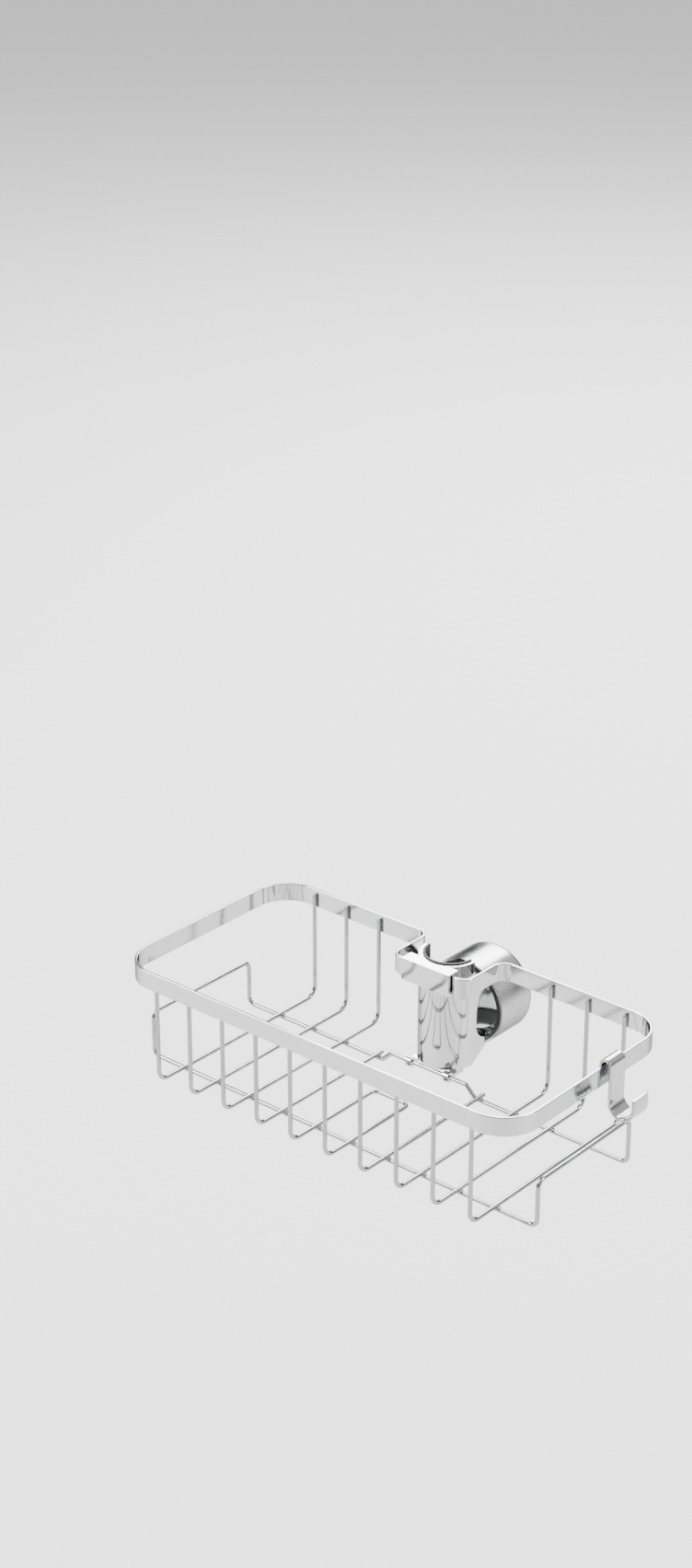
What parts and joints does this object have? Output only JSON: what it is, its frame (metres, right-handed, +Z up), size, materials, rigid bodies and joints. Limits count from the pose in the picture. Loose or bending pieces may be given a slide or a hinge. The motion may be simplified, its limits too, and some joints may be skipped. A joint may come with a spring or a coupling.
{
  "type": "rail shower caddy",
  "caption": "Wire shower basket with a flat strip rim, a raised bar at each end and a side hook, held on a riser rail by a clamp with a round knob.",
  "frame": {"origin": "on the riser rail's axis, level with the rim's top edge", "axes": "+Z up along the rail, -Y towards the basket's front, +Y towards the knob and the wall, +X to the basket's right seen from the front, where the side hook hangs"},
  "size_m": [0.2635, 0.151, 0.0687],
  "materials": {
    "chrome_strip": "polished chrome plate on flat steel strip",
    "chrome_wire": "polished chrome plate on round steel wire",
    "plated_plastic": "chrome-plated plastic moulding",
    "knob_plating": "slightly satin chrome plate on a plastic moulding",
    "satin_steel": "satin stainless strip",
    "spindle_steel": "zinc-plated steel",
    "grey_plastic": "fine matte",
    "grey_rubber": "matte",
    "black_rubber": "matte",
    "black_plastic": "fine matte"
  },
  "bodies": {
    "basket": {"rim_strip": "chrome_strip", "cross_wire_1": "chrome_wire", "cross_wire_2": "chrome_wire", "cross_wire_3": "chrome_wire", "cross_wire_8": "chrome_wire", "cross_wire_9": "chrome_wire", "cross_wire_10": "chrome_wire", "short_wire_4": "chrome_wire", "short_wire_7": "chrome_wire", "centre_loop_wire": "chrome_wire", "floor_frame_wire": "chrome_wire", "clamp_saddle": "plated_plastic", "upper_liner": "black_rubber", "lower_liner": "black_rubber", "flange_ring": "black_plastic"},
    "pad": {"pressure_pad": "grey_plastic", "pad_facing": "grey_rubber"},
    "knob": {"spindle": "spindle_steel", "spindle_clip": "spindle_steel", "knob_shell": "knob_plating", "knob_core": "black_plastic"},
    "hook": {"side_hook": "satin_steel"}
  },
  "joints": [
    {"name": "pad_slide", "type": "slide", "parent": "basket", "child": "pad", "axis": [0, 1, 0], "range_m": [0, 0.006]},
    {"name": "knob_turn", "type": "hinge", "parent": "pad", "child": "knob", "pos_m": [0, 0.03, -0.032], "axis": [0, 1, 0], "range_deg": [0, 1080]},
    {"name": "hook_slide", "type": "slide", "parent": "basket", "child": "hook", "axis": [0, 1, 0], "range_m": [-0.05, 0.021]}
  ],
  "couplings": [
    {"joint": "pad_slide", "follows": "knob_turn", "m_per_rad": 0.0003183}
  ]
}
